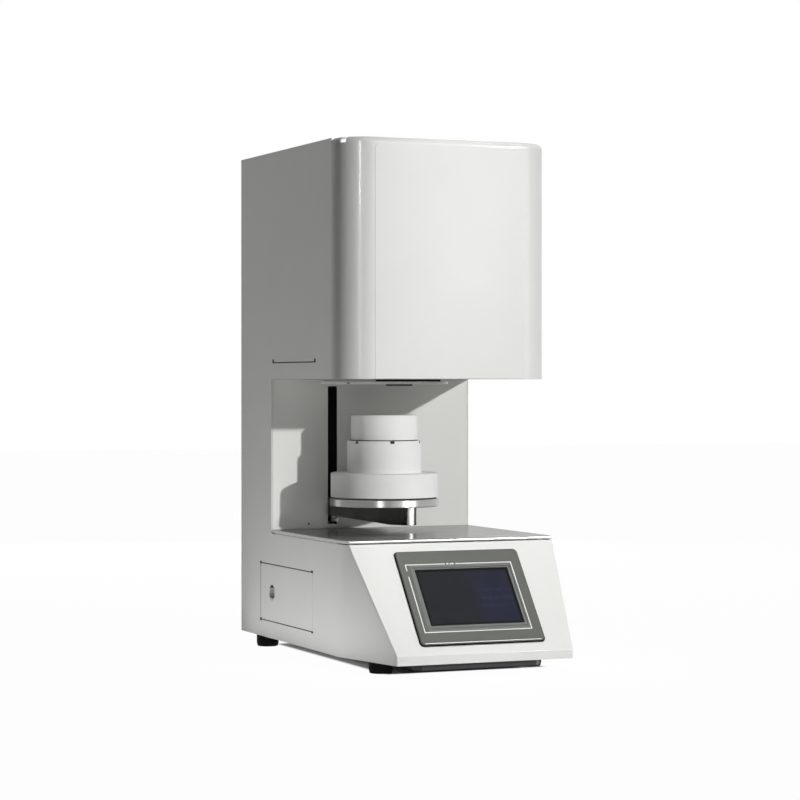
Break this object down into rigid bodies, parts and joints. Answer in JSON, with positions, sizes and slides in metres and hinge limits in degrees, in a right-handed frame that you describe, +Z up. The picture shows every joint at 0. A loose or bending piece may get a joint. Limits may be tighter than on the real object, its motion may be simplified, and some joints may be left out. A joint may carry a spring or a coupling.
{
  "type": "dental lab furnace",
  "caption": "Bottom-loading dental sintering furnace: C-shaped sheet-metal housing, heated chamber in the head, crucible on a screw-driven lift platform, sloping front with touch panel.",
  "frame": {"origin": "centre of the plan on the surface the feet stand on", "axes": "+X to the right seen from the front, front faces -Y, +Z up"},
  "size_m": [0.356, 0.602, 0.82],
  "materials": {
    "painted_side": "satin",
    "painted_front": "satin",
    "polished_deck": "polished",
    "galvanised_sheet": "satin",
    "dark_tray": "satin",
    "rubber": "matte",
    "steel": "satin",
    "aluminium": "satin",
    "dark_plastic": "matte",
    "bezel_grey": "satin",
    "display_black": "gloss",
    "fibre_board": "matte",
    "ring_light": "satin",
    "disilicide": "satin",
    "ceramic_white": "matte",
    "brushed_disc": "satin",
    "felt_dark": "matte",
    "arm_dark": "polished",
    "bronze": "satin",
    "motor_black": "satin",
    "transformer_core": "matte",
    "board_green": "satin",
    "rocker_red": "gloss",
    "breaker_grey": "satin",
    "pull_dark": "satin"
  },
  "bodies": {
    "housing": {"left_side_panel": "painted_side", "right_side_panel": "painted_side", "head_front_cover": "painted_front", "top_cover": "painted_side", "rear_cover": "painted_side", "head_floor": "painted_side", "column_front_panel": "painted_side", "deck_plate": "polished_deck", "base_front_panel": "painted_front", "base_floor": "galvanised_sheet", "base_tray": "dark_tray", "rubber_feet": "rubber", "chassis_frame": "galvanised_sheet", "door_hinge_pins": "steel", "touch_bezel": "bezel_grey", "display_glass": "display_black", "touch_panel_housing": "dark_plastic", "touch_panel_clamps": "galvanised_sheet", "chamber_shell": "steel", "insulation_wall": "fibre_board", "insulation_roof": "fibre_board", "mouth_ring": "ring_light", "heating_elements": "disilicide", "element_holders": "ceramic_white", "element_straps": "aluminium", "thermocouple": "ceramic_white", "guide_rail": "steel", "screw_bearings": "steel", "lift_motor": "motor_black", "lift_back_plate": "galvanised_sheet", "limit_switches": "dark_plastic", "transformer": "transformer_core", "power_controller": "aluminium", "power_supply": "galvanised_sheet", "control_board": "board_green", "terminal_block": "ceramic_white", "fan_frame": "dark_plastic", "fan_guard": "steel", "power_inlet": "dark_plastic", "switch_body": "dark_plastic", "breaker_body": "breaker_grey", "rear_cover_screws": "steel", "top_cover_screws": "steel"},
    "platform": {"platform_disc": "brushed_disc", "plug_felt": "felt_dark", "insulating_plug": "fibre_board", "lift_arm": "arm_dark", "lift_carriage": "aluminium", "lead_nut": "bronze"},
    "screw": {"lead_screw": "steel", "shaft_coupling": "aluminium", "motor_shaft": "steel"},
    "crucible": {"crucible": "ceramic_white"},
    "cover": {"crucible_cover": "ceramic_white"},
    "door": {"access_door": "painted_side", "door_pull": "pull_dark"},
    "fan": {"fan_rotor": "dark_plastic"},
    "rocker": {"switch_rocker": "rocker_red"},
    "lever": {"breaker_lever": "dark_plastic"}
  },
  "joints": [
    {"name": "platform_lift", "type": "slide", "parent": "housing", "child": "platform", "axis": [0, 0, 1], "range_m": [0, 0.193]},
    {"name": "screw_spin", "type": "hinge", "parent": "housing", "child": "screw", "pos_m": [-0.0337, 0.2, 0.2], "axis": [0, 0, 1], "range_deg": [-6950, 0]},
    {"name": "crucible_lift", "type": "slide", "parent": "platform", "child": "crucible", "axis": [0, 0, 1], "range_m": [0, 0.02]},
    {"name": "cover_lift", "type": "slide", "parent": "crucible", "child": "cover", "axis": [0, 0, 1], "range_m": [0, 0.02]},
    {"name": "door_hinge", "type": "hinge", "parent": "housing", "child": "door", "pos_m": [-0.176, -0.033, 0.097], "axis": [0, 0, 1], "range_deg": [0, 90]},
    {"name": "fan_spin", "type": "hinge", "parent": "housing", "child": "fan", "pos_m": [0.06, 0.28, 0.345], "axis": [0, 1, 0], "continuous": true},
    {"name": "rocker_tip", "type": "hinge", "parent": "housing", "child": "rocker", "pos_m": [-0.055, 0.293, 0.082], "axis": [1, 0, 0], "range_deg": [0, 16]},
    {"name": "breaker_throw", "type": "hinge", "parent": "housing", "child": "lever", "pos_m": [-0.15, 0.0855, 0.097], "axis": [0, 1, 0], "range_deg": [0, 56]}
  ],
  "couplings": [
    {"joint": "screw_spin", "follows": "platform_lift", "rad_per_m": -628.32}
  ]
}
